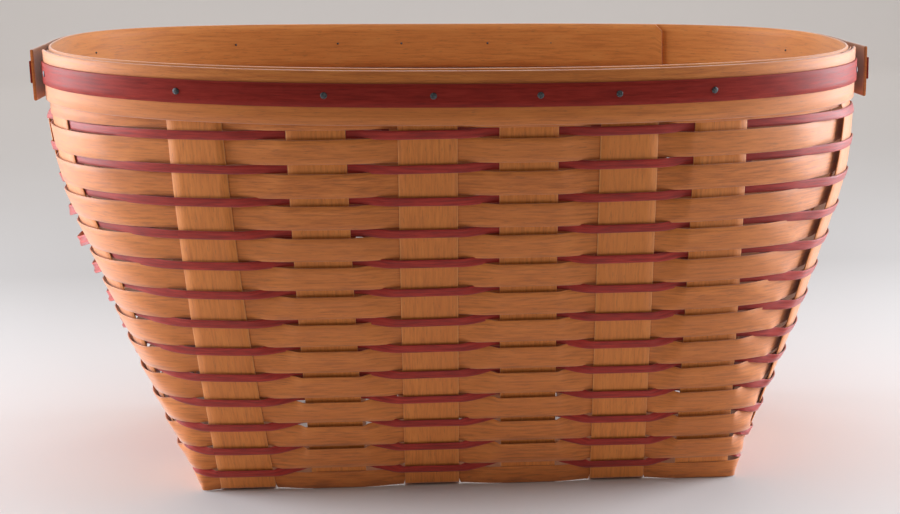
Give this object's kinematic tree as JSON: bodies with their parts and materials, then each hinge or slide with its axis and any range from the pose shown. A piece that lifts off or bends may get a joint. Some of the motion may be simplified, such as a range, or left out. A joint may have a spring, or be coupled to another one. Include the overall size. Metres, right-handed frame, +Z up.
{
  "type": "splint basket",
  "caption": "Large flared open basket of woven wood splints with narrow red weavers, a rectangular woven base and a rounded nailed rim with a red trim strip.",
  "frame": {"origin": "middle of the bounding box in plan, on the floor under the base", "axes": "+X along the long side, to the right of a viewer facing the front; -Y towards the front; +Z up"},
  "size_m": [0.7526, 0.4616, 0.3951],
  "materials": {
    "splint": "oiled, straight grain along the splint",
    "weaver": "oiled, straight grain along the strip",
    "red": "stained dark red, satin",
    "band": "oiled, straight grain along the band",
    "nail": "dull flat head"
  },
  "bodies": {
    "root": {"cross_splint_1": "splint", "cross_splint_2": "splint", "cross_splint_3": "splint", "cross_splint_4": "splint", "cross_splint_5": "splint", "cross_splint_6": "splint", "long_splint_1": "splint", "long_splint_2": "splint", "long_splint_3": "splint", "natural_weaver_01": "weaver", "natural_weaver_02": "weaver", "natural_weaver_03": "weaver", "natural_weaver_04": "weaver", "natural_weaver_05": "weaver", "natural_weaver_06": "weaver", "natural_weaver_07": "weaver", "natural_weaver_08": "weaver", "natural_weaver_09": "weaver", "natural_weaver_10": "weaver", "natural_weaver_11": "weaver", "natural_weaver_12": "weaver", "natural_weaver_13": "weaver", "natural_weaver_14": "weaver", "red_weaver_01": "red", "red_weaver_02": "red", "red_weaver_03": "red", "red_weaver_04": "red", "red_weaver_05": "red", "red_weaver_06": "red", "red_weaver_07": "red", "red_weaver_08": "red", "red_weaver_09": "red", "red_weaver_10": "red", "red_weaver_11": "red", "red_weaver_12": "red", "red_weaver_13": "red", "inner_band": "band", "outer_band_front": "band", "trim_front": "red", "outer_band_back": "band", "trim_back": "red", "nail_front_1": "nail", "nail_front_2": "nail", "nail_front_3": "nail", "nail_front_4": "nail", "nail_front_5": "nail", "nail_front_6": "nail", "nail_right_1": "nail", "nail_right_2": "nail", "nail_right_3": "nail", "nail_back_1": "nail", "nail_back_2": "nail", "nail_back_3": "nail", "nail_back_4": "nail", "nail_back_5": "nail", "nail_back_6": "nail", "nail_left_1": "nail", "nail_left_2": "nail", "nail_left_3": "nail"}
  },
  "joints": []
}
